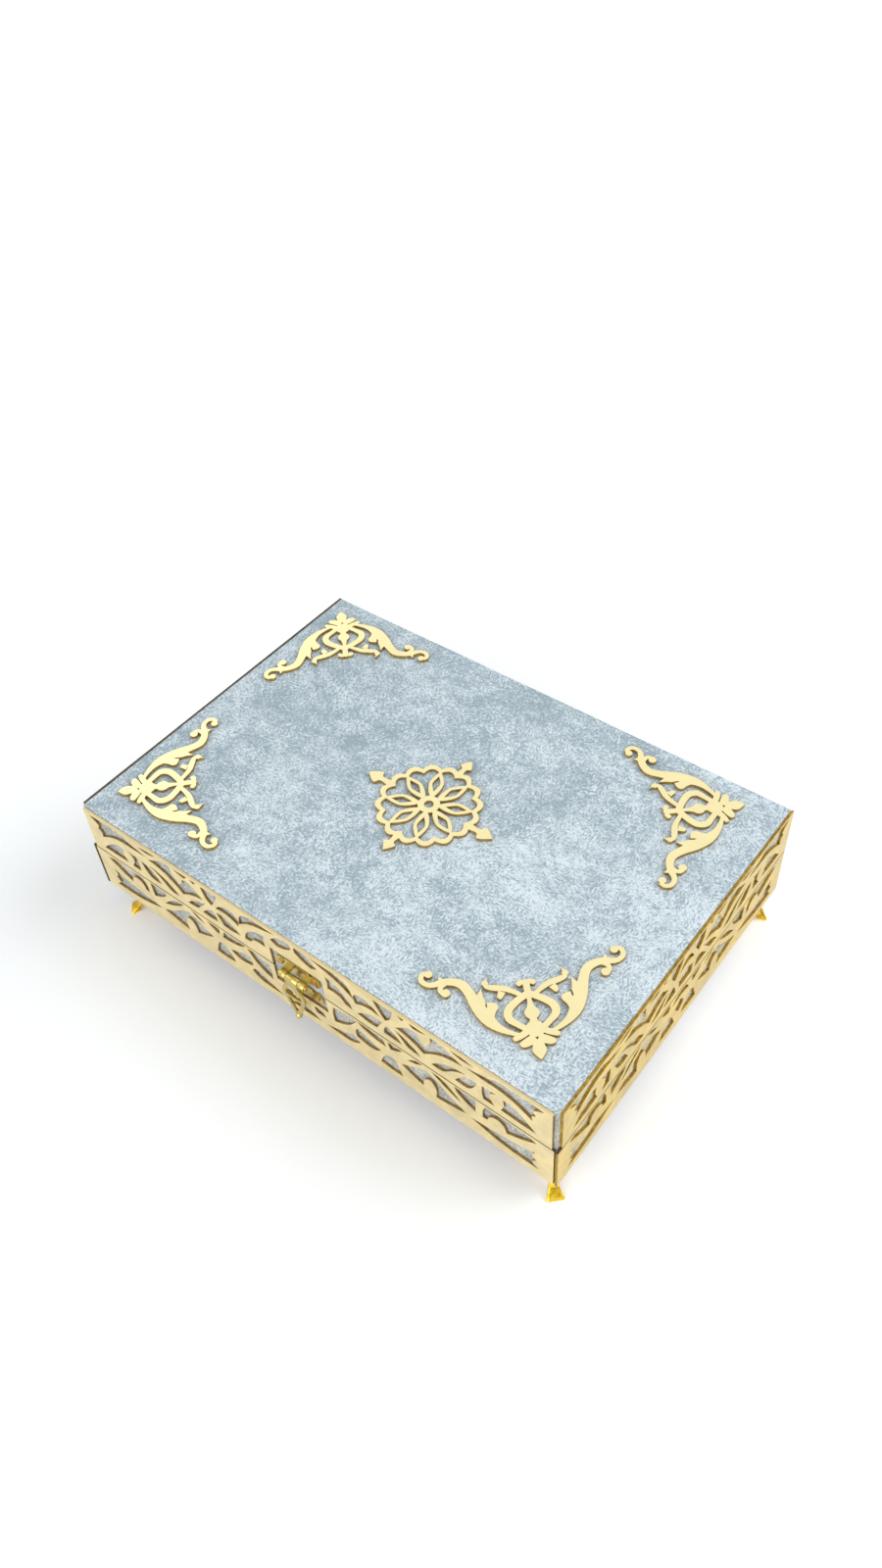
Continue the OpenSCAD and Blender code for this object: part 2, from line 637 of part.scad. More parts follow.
// A section of the lid with its two top edges rounded, from half = -w to w
module rounded_section(w) {
    square_h = top_z - lid_rim - velvet_round;
    translate([-w, 0]) square([2 * w, square_h]);
    translate([-w + velvet_round, 0]) square([2 * (w - velvet_round), square_h + velvet_round]);
    for (s = [-1, 1]) translate([s * (w - velvet_round), square_h]) circle(velvet_round);
}

module lid_velvet() {
    depth = y_back - y_velvet;
    color("#9fb3c4") difference() {
        intersection() {
            translate([0, y_back, lid_rim]) rotate([90, 0, 0]) linear_extrude(depth)
                rounded_section(x_velvet);
            translate([-x_velvet, y_mid, lid_rim]) rotate([90, 0, 90]) linear_extrude(2 * x_velvet)
                rounded_section(depth / 2);
        }
        boards_space(lid_wall_low, top_board_z);
        cavity(lid_rim - eps, lid_wall_low + eps);
        plate_screw_holes();
        hinge_screw_holes(1);
    }
}

module lid_lining() {
    color("#a9bccb") wall_lining(lid_wall_low, lid_wall_top);
}

module lid_pad() {
    color("#b3c4d1") cavity(lid_wall_top - pad_t, lid_wall_top, pad_gap);
}

// Feet: a corner plate and a leg that is cut from two curved outlines. In a foot's own frame the corner
// of the box is the origin, x runs inward along the diagonal, and z is up from the floor.
toe_in = foot_inset * sqrt(2);
leg_top = foot_h - foot_plate_t;
waist_z = foot_h / 2;
waist_in = toe_in + (toe_step + leg_lean) / 2;
leg_side = [
    [toe_in, 0, 1], [toe_in, toe_h, 1], [toe_in + toe_step, 2 * toe_h], [waist_in, waist_z],
    [toe_in + leg_lean, leg_top, 1], [toe_in + leg_lean + leg_top_l, leg_top, 1],
    [waist_in + waist_l, waist_z], [toe_in + sole_l, 0, 1]
];
leg_front = [
    [-toe_w / 2, 0, 1], [-toe_w / 2, toe_h, 1], [-waist_w / 2, waist_z],
    [-leg_top_w / 2, leg_top, 1], [leg_top_w / 2, leg_top, 1],
    [waist_w / 2, waist_z], [toe_w / 2, toe_h, 1], [toe_w / 2, 0, 1]
];
leg_reach = toe_in + leg_lean + leg_top_l + eps;
foot_screw_in = 5;
foot_screw_near = foot_edge + foot_screw_in;
foot_screw_far = foot_edge + foot_plate - foot_screw_in;
foot_spots = [[foot_screw_near, foot_screw_far], [foot_screw_far, foot_screw_near]];
// Board that is left above the hole of a foot's screw, and room at the screw's end
floor_skin = 0.5;
screw_end = 0.5;
foot_screw_l = foot_plate_t + floor_t - floor_skin - screw_end;

// Puts what is drawn for a corner, with both axes inward, at one corner of the base
module at_corner(side_x, side_y) {
    slip_x = side_x < 0 && side_y < 0 ? foot_slip : 0;
    slip_y = side_x > 0 && side_y > 0 ? foot_slip_back : 0;
    translate([side_x * (box_l / 2 - slip_x), side_y < 0 ? y_front : y_back - slip_y, 0])
        mirror([side_x > 0 ? 1 : 0, 0, 0]) mirror([0, side_y > 0 ? 1 : 0, 0]) children();
}

module foot_leg() {
    rotate([0, 0, 45]) intersection() {
        translate([0, toe_w, 0]) rotate([90, 0, 0]) linear_extrude(2 * toe_w)
            polygon(closed_curve(leg_side, 4));
        rotate([90, 0, 90]) linear_extrude(leg_reach) polygon(closed_curve(leg_front, 4));
    }
}

module foot_drawing() {
    difference() {
        union() {
            foot_leg();
            translate([foot_edge, foot_edge, leg_top]) linear_extrude(foot_plate_t) difference() {
                square(foot_plate);
                translate([foot_plate, foot_plate]) circle(foot_hollow);
            }
        }
        for (p = foot_spots) translate([p[0], p[1], 0]) {
            translate([0, 0, leg_top - eps])
                cylinder(r = foot_screw_r + screw_fit, h = foot_plate_t + 2 * eps);
            cylinder(r = foot_head_r + screw_fit, h = leg_top);
        }
    }
}

module foot(side_x, side_y) {
    color("#f0c030") at_corner(side_x, side_y) foot_drawing();
}

module foot_screw_holes() {
    for (sx = [-1, 1], sy = [-1, 1]) at_corner(sx, sy) for (p = foot_spots)
        translate([p[0], p[1], base_z - eps])
            cylinder(r = foot_screw_r + screw_fit, h = floor_t - floor_skin);
}

module foot_screws() {
    color("#d9b23c") for (sx = [-1, 1], sy = [-1, 1]) at_corner(sx, sy) for (p = foot_spots)
        translate([p[0], p[1], leg_top]) {
            translate([0, 0, -foot_head_h]) cylinder(r = foot_head_r, h = foot_head_h);
            translate([0, 0, -eps]) cylinder(r = foot_screw_r, h = foot_screw_l);
        }
}

// Small pan-head screws: drawn with the head's seat at the origin, the shank along +Y
module small_screw(seat_t) {
    difference() {
        rotate([90, 0, 0]) cylinder(r = head_r, h = head_h);
        translate([-head_r, -head_h - eps, -slot_w / 2]) cube([2 * head_r, slot_depth + eps, slot_w]);
    }
    rotate([-90, 0, 0]) cylinder(r = screw_r, h = seat_t + velvet_t + screw_l);
}

hole_extra = 0.3;

module small_hole(seat_t) {
    rotate([-90, 0, 0]) translate([0, 0, -eps])
        cylinder(r = screw_r + screw_fit, h = seat_t + velvet_t + screw_l + hole_extra);
}

// Hinges. up is 1 for the lid's leaf and -1 for the base's leaf.
leaf_near = barrel_r + knuckle_gap;
leaf_screw_in = 5;
leaf_screw_z = (leaf_near + leaf_h) / 2;
leaf_screw_x = hinge_l / 2 - leaf_screw_in;
knuckle_l = (hinge_l - 2 * knuckle_gap) / 3;
hinge_sides = [-1, 1];

module leaf_spots(side, up) {
    for (s = [-1, 1])
        translate([side * hinge_x + s * leaf_screw_x, y_back + leaf_t, part_z + up * leaf_screw_z])
            mirror([0, 1, 0]) children();
}

module hinge_screw_holes(up) {
    for (side = hinge_sides) leaf_spots(side, up) small_hole(leaf_t);
}

module hinge_screws(up) {
    color("#c9a03c") for (side = hinge_sides) leaf_spots(side, up) small_screw(leaf_t);
}

module knuckle(x0, l, up) {
    translate([x0, hinge_y, part_z]) rotate([0, 90, 0]) cylinder(r = barrel_r, h = l);
    z0 = up > 0 ? part_z : part_z - leaf_near - eps;
    block(x0, x0 + l, y_back, y_back + leaf_t, z0, z0 + leaf_near + eps);
}

module hinge_leaf(side, up) {
    x = side * hinge_x - hinge_l / 2;
    z0 = up > 0 ? part_z + leaf_near : part_z - leaf_h;
    color("#cfa63f") difference() {
        union() {
            block(x, x + hinge_l, y_back, y_back + leaf_t, z0, z0 + leaf_h - leaf_near);
            if (up > 0) knuckle(x + knuckle_l + knuckle_gap, knuckle_l, up);
            if (up < 0) for (i = [0, 2]) knuckle(x + i * (knuckle_l + knuckle_gap), knuckle_l, up);
        }
        translate([x - eps, hinge_y, part_z]) rotate([0, 90, 0])
            cylinder(r = hinge_pin_r + pin_fit, h = hinge_l + 2 * eps);
        leaf_spots(side, up) small_hole(leaf_t);
    }
}

pin_cap = 0.8;
cap_lip = 0.5;

module hinge_pin(side) {
    x = side * hinge_x - hinge_l / 2;
    color("#b98f34") translate([x, hinge_y, part_z]) rotate([0, 90, 0]) {
        translate([0, 0, -pin_fit - pin_cap]) cylinder(r = hinge_pin_r + cap_lip, h = pin_cap);
        translate([0, 0, -pin_fit - eps]) cylinder(r = hinge_pin_r, h = hinge_l + 2 * pin_fit + 2 * eps);
        translate([0, 0, hinge_l + pin_fit]) cylinder(r = hinge_pin_r + cap_lip, h = pin_cap);
    }
}

// Clasp: plates with two ears lie on the front velvet, in the fretwork's window
module ear_plate() {
    translate([-plate_w / 2, 0]) square([plate_w, plate_h]);
    for (s = [-1, 1]) translate([s * ear_x, plate_h / 2]) circle(ear_r);
}

module plate_at(z) {
    translate([0, y_velvet, z]) rotate([90, 0, 0]) linear_extrude(plate_t) ear_plate();
}

module ear_spots(z) {
    for (s = [-1, 1]) translate([s * ear_x, y_velvet - plate_t, z + plate_h / 2]) children();
}

module plate_screw_holes() {
    ear_spots(part_z + plate_low) small_hole(plate_t);
}

module catch_screw_holes() {
    ear_spots(part_z + catch_low) small_hole(plate_t);
}

module clasp_plate_screws() {
    color("#e0b740") ear_spots(part_z + plate_low) small_screw(plate_t);
}

module clasp_catch_screws() {
    color("#e0b740") ear_spots(part_z + catch_low) small_screw(plate_t);
}

module along_pin(x0, l, r) {
    translate([x0, pivot_y, pivot_z]) rotate([0, 90, 0]) cylinder(r = r, h = l);
}

loop_gap = 0.3;
ear_knuckle = (plate_w - loop_knuckle) / 2 - loop_gap;

module clasp_plate() {
    color("#e6bd45") difference() {
        union() {
            plate_at(part_z + plate_low);
            for (s = [0, 1]) {
                x0 = s == 0 ? -plate_w / 2 : plate_w / 2 - ear_knuckle;
                along_pin(x0, ear_knuckle, clasp_barrel_r);
                block(x0, x0 + ear_knuckle, pivot_y, y_velvet - plate_t + eps,
                      pivot_z, pivot_z + clasp_barrel_r);
            }
        }
        along_pin(-plate_w / 2 - eps, plate_w + 2 * eps, clasp_pin_r + pin_fit);
        ear_spots(part_z + plate_low) small_hole(plate_t);
    }
}

module clasp_pin() {
    color("#c99a30") {
        along_pin(-plate_w / 2 - pin_fit - eps, plate_w + 2 * pin_fit + 2 * eps, clasp_pin_r);
        along_pin(-plate_w / 2 - pin_fit - pin_cap, pin_cap, clasp_pin_r + cap_lip);
        along_pin(plate_w / 2 + pin_fit, pin_cap, clasp_pin_r + cap_lip);
    }
}

// The drawing of the loop: the right half of its outline, with y down from the pin. It is an ogee that
// widens below the neck and narrows to its tip.
draw_loop_half = 7.8;
draw_loop_len = 31;
loop_drawing = [[3.6, 2.6, 1], [7.8, 11], [6.4, 18], [2.8, 26.8], [0, 31, 1]];

module loop_outline() {
    p = [for (q = loop_drawing)
        [q[0] * loop_half / draw_loop_half, q[1] * loop_len / draw_loop_len, q[2]]];
    left = [for (i = [len(p) - 2 : -1 : 0]) [-p[i][0], p[i][1], p[i][2]]];
    polygon(closed_curve(concat(p, left)));
}

module clasp_loop() {
    l = loop_knuckle;
    color("#ecc44a") translate([0, pivot_y, pivot_z]) difference() {
        union() {
            translate([-l / 2, 0, 0]) rotate([0, 90, 0]) cylinder(r = clasp_barrel_r, h = l);
            translate([0, -loop_off + loop_t / 2, 0]) rotate([90, 0, 0]) linear_extrude(loop_t) mirror([0, 1])
                difference() {
                    union() {
                        loop_outline();
                        translate([-l / 2, 0]) square([l, loop_neck]);
                    }
                    difference() {
                        offset(delta = -loop_band) loop_outline();
                        translate([-loop_half, bar_down]) square([2 * loop_half, bar_w]);
                    }
                }
            translate([0, -loop_off, -loop_len]) sphere(bead_r);
        }
        translate([-l / 2 - eps, 0, 0]) rotate([0, 90, 0])
            cylinder(r = clasp_pin_r + pin_fit, h = l + 2 * eps);
    }
}

module clasp_catch() {
    z = pivot_z - knob_down;
    color("#e6bd45") difference() {
        union() {
            plate_at(part_z + catch_low);
            translate([0, y_velvet - plate_t + eps, z]) rotate([90, 0, 0])
                cylinder(r = stem_r, h = knob_out - knob_r - plate_t + eps);
            translate([0, y_velvet - knob_out + knob_r, z]) sphere(knob_r);
        }
        ear_spots(part_z + catch_low) small_hole(plate_t);
    }
}

base_floor();
base_front_board();
base_back_board();
base_side_board(-1);  // base_left_board
base_side_board(1);  // base_right_board
base_velvet();
base_lining();
base_pad();
base_fret_front();
base_fret_side(-1);  // base_fret_left
base_fret_side(1);  // base_fret_right
foot(-1, -1);  // foot_front_left
foot(1, -1);  // foot_front_right
foot(-1, 1);  // foot_back_left
foot(1, 1);  // foot_back_right
foot_screws();
hinge_leaf(-1, -1);  // hinge_base_leaf_left
hinge_leaf(1, -1);  // hinge_base_leaf_right
hinge_pin(-1);  // hinge_pin_left
hinge_pin(1);  // hinge_pin_right
hinge_screws(-1);  // hinge_base_screws
clasp_catch();
clasp_catch_screws();
lid_top_board();
lid_front_board();
lid_back_board();
lid_side_board(-1);  // lid_left_board
lid_side_board(1);  // lid_right_board
lid_velvet();
lid_lining();
lid_pad();
lid_fret_front();
lid_fret_side(-1);  // lid_fret_left
lid_fret_side(1);  // lid_fret_right
lid_corner(-1, -1);  // lid_corner_front_left
lid_corner(1, -1);  // lid_corner_front_right
lid_corner(-1, 1);  // lid_corner_back_left
lid_corner(1, 1, -orn_tilt);  // lid_corner_back_right
lid_medallion();
hinge_leaf(-1, 1);  // hinge_lid_leaf_left
hinge_leaf(1, 1);  // hinge_lid_leaf_right
hinge_screws(1);  // hinge_lid_screws
clasp_plate();
clasp_plate_screws();
clasp_pin();
clasp_loop();
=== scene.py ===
# %% [markdown]
# # A velvet book box
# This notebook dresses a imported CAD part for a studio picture. The CAD solids stay where they are and give
# every size. Metal and cut board keep their solids and get finishes. Cloth, pads and cast feet get surfaces
# of their own, because a CAD block can't look soft or cast.

# %% Load the frame
import math

import bmesh
import bpy
import numpy as np
from mathutils import Matrix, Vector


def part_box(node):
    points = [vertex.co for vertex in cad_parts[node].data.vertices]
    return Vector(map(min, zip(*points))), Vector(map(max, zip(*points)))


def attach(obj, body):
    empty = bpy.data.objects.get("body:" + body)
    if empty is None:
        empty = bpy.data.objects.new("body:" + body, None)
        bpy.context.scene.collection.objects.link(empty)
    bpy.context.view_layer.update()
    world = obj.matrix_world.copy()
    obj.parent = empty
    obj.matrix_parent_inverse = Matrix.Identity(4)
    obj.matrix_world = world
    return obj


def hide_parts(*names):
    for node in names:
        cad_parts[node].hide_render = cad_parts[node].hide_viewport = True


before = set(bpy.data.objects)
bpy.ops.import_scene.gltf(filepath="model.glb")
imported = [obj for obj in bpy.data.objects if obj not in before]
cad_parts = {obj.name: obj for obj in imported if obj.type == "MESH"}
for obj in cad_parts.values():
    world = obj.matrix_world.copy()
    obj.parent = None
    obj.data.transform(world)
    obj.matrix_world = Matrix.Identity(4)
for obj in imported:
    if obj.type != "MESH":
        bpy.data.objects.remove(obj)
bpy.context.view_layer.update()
MM = 0.001
WELD = 0.002 * MM

# %% [markdown]
# ## Surfaces from two parameters
# Each new piece is a grid of points: one parameter runs along the rows and one along the columns. A grid is
# easy to check, since neighbouring points make one four-sided face, and it needs no modelling by hand.


# %% Grid helpers
def grid_faces(rows, cols, wrap):
    """Face corners of a grid: each point with its right, upper right and upper neighbours."""
    r, c = np.meshgrid(np.arange(rows - 1), np.arange(cols if wrap else cols - 1), indexing="ij")
    d = (c + 1) % cols
    return np.stack([r * cols + c, r * cols + d, (r + 1) * cols + d, (r + 1) * cols + c], -1).reshape(-1, 4)


def joined(*grids):
    """One list of points and faces from several (points, wrap) grids, each shifted past the last."""
    points, faces, start = [], [], 0
    for grid, wrap in grids:
        rows, cols = grid.shape[:2]
        points.append(grid.reshape(-1, 3))
        faces.append(grid_faces(rows, cols, wrap) + start)
        start += rows * cols
    return np.concatenate(points), np.concatenate(faces)


def make_object(name, points, faces, material, thick=0.0):
    """A mesh object at the origin from points in metres and four-cornered faces. Points that meet at a seam
    or a pole become one point, and a cloth gets its thickness behind the face that shows."""
    mesh = bpy.data.meshes.new(name)
    mesh.vertices.add(len(points))
    mesh.vertices.foreach_set("co", np.asarray(points, np.float32).ravel())
    mesh.loops.add(faces.size)
    mesh.loops.foreach_set("vertex_index", np.asarray(faces, np.int32).ravel())
    mesh.polygons.add(len(faces))
    mesh.polygons.foreach_set("loop_start", np.arange(0, faces.size, 4, dtype=np.int32))
    mesh.polygons.foreach_set("use_smooth", np.full(len(faces), True))
    mesh.update(calc_edges=True)
    shape = bmesh.new()
    shape.from_mesh(mesh)
    bmesh.ops.remove_doubles(shape, verts=shape.verts, dist=WELD)
    bmesh.ops.dissolve_degenerate(shape, edges=shape.edges, dist=WELD)
    shape.to_mesh(mesh)
    shape.free()
    mesh.validate()
    mesh.materials.append(material)
    obj = bpy.data.objects.new(name, mesh)
    bpy.context.scene.collection.objects.link(obj)
    if thick:
        layer = obj.modifiers.new("thickness", "SOLIDIFY")
        layer.thickness, layer.offset = thick, -1
    print(name, len(mesh.vertices), "points", len(mesh.polygons), "faces")
    return obj


# %% [markdown]
# Cloth is never quite flat. Value noise gives each corner of a coarse lattice a random height, and blends the
# heights smoothly in between, so nearby points move together.


# %% Noise for cloth
TABLE_SIZE = 4096
SHUFFLE = (73856093, 19349663, 83492791)


def value_noise(points, pitch, seed):
    """Smooth noise from -1 to 1: random values at lattice corners pitch apart, blended with 3t2 - 2t3. A
    corner's place in the table comes from its three whole numbers, times three primes, mixed bit by bit."""
    rng = np.random.default_rng(seed)
    table = rng.uniform(-1, 1, TABLE_SIZE)
    p = np.asarray(points) / pitch
    base = np.floor(p).astype(np.int64)
    t = p - base
    t = t * t * (3 - 2 * t)
    total = np.zeros(p.shape[:-1])
    for corner in np.ndindex(2, 2, 2):
        k = (base + np.array(corner)) * SHUFFLE
        value = table[(k[..., 0] ^ k[..., 1] ^ k[..., 2]) % TABLE_SIZE]
        weight = np.prod(np.where(np.array(corner) == 1, t, 1 - t), axis=-1)
        total += value * weight
    return total


def ring(half_x, half_y, corner, inset, counts):
    """A rounded rectangle shrunk by inset, as points in order: four straight sides and four quarter circles.
    The corner radius shrinks with the inset, as the inner edge of a mitred frame does."""
    a, b = half_x - inset, half_y - inset
    r = min(max(corner - inset, 0.02 * MM), b)
    nx, ny, na = counts
    sides = [((a, -b + r), (a, b - r), ny), ((a - r, b), (-a + r, b), nx),
             ((-a, b - r), (-a, -b + r), ny), ((-a + r, -b), (a - r, -b), nx)]
    centres = [(a - r, b - r), (-a + r, b - r), (-a + r, -b + r), (a - r, -b + r)]
    out = []
    for i, ((p, q, n), c) in enumerate(zip(sides, centres)):
        t = np.linspace(0, 1, n, endpoint=False)[:, None]
        out.append(np.array(p) * (1 - t) + np.array(q) * t)
        angle = (i + np.linspace(0, 1, na, endpoint=False)) * math.pi / 2
        out.append(np.array(c) + r * np.stack([np.cos(angle), np.sin(angle)], -1))
    return np.concatenate(out)


def box_wrap(low, high, section, corner, counts=(120, 84, 5)):
    """A surface round a box: for each (inset, z) of the section, one ring at that height."""
    half_x, half_y = (high[0] - low[0]) / 2, (high[1] - low[1]) / 2
    centre = np.array([(high[0] + low[0]) / 2, (high[1] + low[1]) / 2])
    rows = []
    for inset, z in section:
        flat = ring(half_x, half_y, corner, min(inset, half_y), counts) + centre
        rows.append(np.concatenate([flat, np.full((len(flat), 1), z)], -1))
    return np.array(rows)


def straight(a, b, step):
    """Points from a to b, about step apart, without the last one: a plus equal shares of the way to b."""
    a, b = np.array(a, float), np.array(b, float)
    n = max(int(round(np.linalg.norm(b - a) / step)), 1)
    return a + (b - a) * np.arange(n)[:, None] / n


def quarter(centre, r, start, end, n):
    """Points on a circle from angle start to angle end, in degrees, without the last one."""
    t = np.radians(np.linspace(start, end, n, endpoint=False))
    return np.array(centre) + r * np.stack([np.cos(t), np.sin(t)], -1)


# %% [markdown]
# ## Finishes
# A finish is a small recipe of shader nodes. What several finishes share, such as the pile of the velvet, the
# mark of a cut edge or the smears on polished metal, is a node group with named inputs and outputs.


# %% Shader helpers
def add(tree, kind, links=(), **values):
    """A node in tree: values set its options or its inputs, and links joins (input, output) pairs."""
    n = tree.nodes.new(kind)
    for key, value in values.items():
        if hasattr(n, key):
            setattr(n, key, value)
        else:
            n.inputs[key.replace("_", " ")].default_value = value
    for key, source in links:
        tree.links.new(source, n.inputs[key])
    return n


def maths(tree, operation, a, b):
    """A maths node with two inputs, each a socket or a number."""
    n = add(tree, "ShaderNodeMath", operation=operation)
    for i, v in enumerate((a, b)):
        if isinstance(v, (int, float)):
            n.inputs[i].default_value = v
        else:
            tree.links.new(v, n.inputs[i])
    return n.outputs[0]


def remap(tree, value, low, high, to_low=0.0, to_high=1.0):
    """value moved from the range low..high to the range to_low..to_high, and held inside it."""
    n = add(tree, "ShaderNodeMapRange", [("Value", value)],
            From_Min=low, From_Max=high, To_Min=to_low, To_Max=to_high)
    return n.outputs["Result"]


# Sockets of a colour mix: the factor, the two colours and the result
MIX_FAC, MIX_A, MIX_B, MIX_OUT = 0, 6, 7, 2


def mix_colour(tree, fac, a, b, blend="MIX"):
    """a where fac is 0, and b, or a blended with b, where fac is 1; each is a socket or a plain value."""
    n = add(tree, "ShaderNodeMix", data_type="RGBA", blend_type=blend)
    for i, v in ((MIX_FAC, fac), (MIX_A, a), (MIX_B, b)):
        if isinstance(v, bpy.types.NodeSocket):
            tree.links.new(v, n.inputs[i])
        else:
            n.inputs[i].default_value = v if i == MIX_FAC else (*v, 1)
    return n.outputs[MIX_OUT]


def parts_of(tree, kind):
    """The X, Y and Z of a texture coordinate, such as Object or Normal."""
    coordinate = add(tree, "ShaderNodeTexCoord").outputs[kind]
    return add(tree, "ShaderNodeSeparateXYZ", [("Vector", coordinate)]).outputs


def new_group(name, inputs, outputs):
    """A node group with (name, socket type, default) inputs and (name, socket type) outputs."""
    tree = bpy.data.node_groups.new(name, "ShaderNodeTree")
    for label, kind, value in inputs:
        tree.interface.new_socket(label, in_out="INPUT", socket_type=kind).default_value = value
    for label, kind in outputs:
        tree.interface.new_socket(label, in_out="OUTPUT", socket_type=kind)
    return tree, add(tree, "NodeGroupInput"), add(tree, "NodeGroupOutput")


def srgb(r, g, b):
    """A colour as read off a picture, from 0 to 255, turned to the linear light that shaders use."""
    def linear(v):
        v /= 255
        return v / 12.92 if v <= 0.04045 else ((v + 0.055) / 1.055) ** 2.4
    return tuple(linear(v) for v in (r, g, b))


def new_material(name, **constants):
    """A material with one Principled node, and these constants set on its inputs."""
    material = bpy.data.materials.new(name)
    material.use_nodes = True
    tree = material.node_tree
    shader = tree.nodes["Principled BSDF"]
    for key, value in constants.items():
        shader.inputs[key.replace("_", " ")].default_value = value
    return material, tree, shader


# %% [markdown]
# ### Velvet pile
# Velvet is short upright pile. Where a hand has brushed it the tufts lean, and a leaning tuft turns a darker
# or lighter side to the eye. So there are clouds a few centimetres wide where the pile leans together, clumps
# of a centimetre in them, and short strokes a millimetre or two long. All come from noise, stretched for the
# strokes. Over them lies painted shade, darker towards the back left corner of the box, and a little painted
# light towards the front right corner.

# %% Velvet group
tree, gin, gout = new_group(
    "Velvet pile",
    [("Dark", "NodeSocketColor", (0.3, 0.4, 0.45, 1)), ("Light", "NodeSocketColor", (0.7, 0.8, 0.85, 1)),
     ("Contrast", "NodeSocketFloat", 1.0)],
    [("Color", "NodeSocketColor"), ("Height", "NodeSocketFloat")])
place = add(tree, "ShaderNodeTexCoord").outputs["Object"]
drift = add(tree, "ShaderNodeTexNoise", [("Vector", place)], Scale=14.0, Detail=2.0)
lean = add(tree, "ShaderNodeVectorMath", [(0, drift.outputs["Color"])], operation="SCALE")
lean.inputs["Scale"].default_value = 0.02
moved = add(tree, "ShaderNodeVectorMath", [(0, place), (1, lean.outputs[0])], operation="ADD").outputs[0]
clouds = add(tree, "ShaderNodeTexNoise", [("Vector", moved)], Scale=26.0, Detail=4.0, Roughness=0.62)
patches = add(tree, "ShaderNodeTexNoise", [("Vector", moved)], Scale=120.0, Detail=2.0)
clumps = add(tree, "ShaderNodeTexNoise", [("Vector", moved)], Scale=95.0, Detail=6.0, Roughness=0.72)
strokes = []
for turn, stretch in ((0.6, (1550, 540, 950)), (-0.9, (540, 1550, 950))):
    turned = add(tree, "ShaderNodeMapping", [("Vector", moved)])
    turned.inputs["Rotation"].default_value = (0.2, 0.1, turn)
    turned.inputs["Scale"].default_value = stretch
    stroke = add(tree, "ShaderNodeTexNoise", [("Vector", turned.outputs[0])], Scale=1.0, Detail=2.0)
    strokes.append(stroke.outputs[0])
which = remap(tree, patches.outputs[0], 0.42, 0.58)
pile = maths(tree, "ADD", maths(tree, "MULTIPLY", strokes[0], which),
             maths(tree, "MULTIPLY", strokes[1], maths(tree, "SUBTRACT", 1.0, which)))
shade = 0.0
for layer, weight in ((clouds.outputs[0], 0.85), (clumps.outputs[0], 1.0), (pile, 2.2)):
    shade = maths(tree, "ADD", shade, maths(tree, "MULTIPLY", maths(tree, "SUBTRACT", layer, 0.5), weight))
# Painted shade darker towards the back left, and a little painted light towards the front right.
across = add(tree, "ShaderNodeSeparateXYZ", [("Vector", place)])
slope = maths(tree, "SUBTRACT", across.outputs["X"], across.outputs["Y"])
shade = maths(tree, "ADD", shade, remap(tree, slope, -0.15, 0.1, -0.105, 0.025))
fac = remap(tree, maths(tree, "MULTIPLY", shade, gin.outputs["Contrast"]), -0.24, 0.24)
tree.links.new(mix_colour(tree, fac, gin.outputs["Dark"], gin.outputs["Light"]), gout.inputs["Color"])
tree.links.new(pile, gout.inputs["Height"])
velvet_group = tree
print("velvet group:", len(tree.nodes), "nodes")


# %% Velvet and lining
def velvet(name, dark, light, contrast, wall, painted_gilt_light):
    """A velvet finish between two colours: the pile group drives colour and bump, and sheen lights its edges.
    Where the normal is level, the colour is multiplied by wall, a warm painted shade; where it also points
    right, by painted_gilt_light instead, a painted warm light from the gilt there."""
    material, tree, shader = new_material(name, Roughness=0.9, Sheen_Weight=0.12, Sheen_Roughness=0.45)
    shader.inputs["Specular IOR Level"].default_value = 0.1
    shader.inputs["Sheen Tint"].default_value = (0.9, 0.95, 1.0, 1)
    pile = add(tree, "ShaderNodeGroup", node_tree=velvet_group,
               Dark=(*dark, 1), Light=(*light, 1), Contrast=contrast)
    normal = parts_of(tree, "Normal")
    upright = remap(tree, maths(tree, "ABSOLUTE", normal["Z"], 0.0), 0.3, 0.8)
    rightward = remap(tree, normal["X"], 0.85, 0.97)
    # Painted shade on cloth whose normal is level, and painted warm light where it points right.
    depth = mix_colour(tree, upright, mix_colour(tree, rightward, wall, painted_gilt_light), (1.0, 1.0, 1.0))
    pile_with_painted_light = mix_colour(tree, 1.0, pile.outputs["Color"], depth, "MULTIPLY")
    tree.links.new(pile_with_painted_light, shader.inputs["Base Color"])
    bump = add(tree, "ShaderNodeBump", [("Height", pile.outputs["Height"])], Strength=0.5, Distance=0.0006)
    tree.links.new(bump.outputs[0], shader.inputs["Normal"])
    return material


# Painted shade for the walls of velvet and lining, and painted warm light for the velvet behind the right
# gilt.
painted_wall_shade, painted_warm_light, painted_lining_shade = (0.83, 0.72, 0.61), (1.25, 0.98, 0.62), (0.86, 0.77, 0.70)
velvet_blue = velvet("velvet", srgb(160, 178, 187), srgb(232, 243, 249), 1.0, painted_wall_shade, painted_warm_light)
lining_blue = velvet("lining", srgb(168, 184, 192), srgb(214, 226, 233), 0.6, painted_lining_shade, painted_lining_shade)
print("cloth finishes:", velvet_blue.name, lining_blue.name)

# %% [markdown]
# ### Gold on cut board
# The fretwork is thin board under gold foil, cut by a laser. The beam burns the cut edge brown, and only the
# outer face keeps its foil. One group tells the two apart: it compares the surface's own direction with the
# direction that the panel faces. A second group adds the faint smears that any shiny face picks up.

# %% Edge and smear groups
tree, gin, gout = new_group(
    "Facing", [("Axis", "NodeSocketVector", (0, 0, 1))], [("Facing", "NodeSocketFloat")])
normal = add(tree, "ShaderNodeTexCoord").outputs["Normal"]
dot = add(tree, "ShaderNodeVectorMath", [(0, normal), (1, gin.outputs["Axis"])], operation="DOT_PRODUCT")
tree.links.new(remap(tree, dot.outputs["Value"], 0.86, 0.97), gout.inputs["Facing"])
facing_group = tree

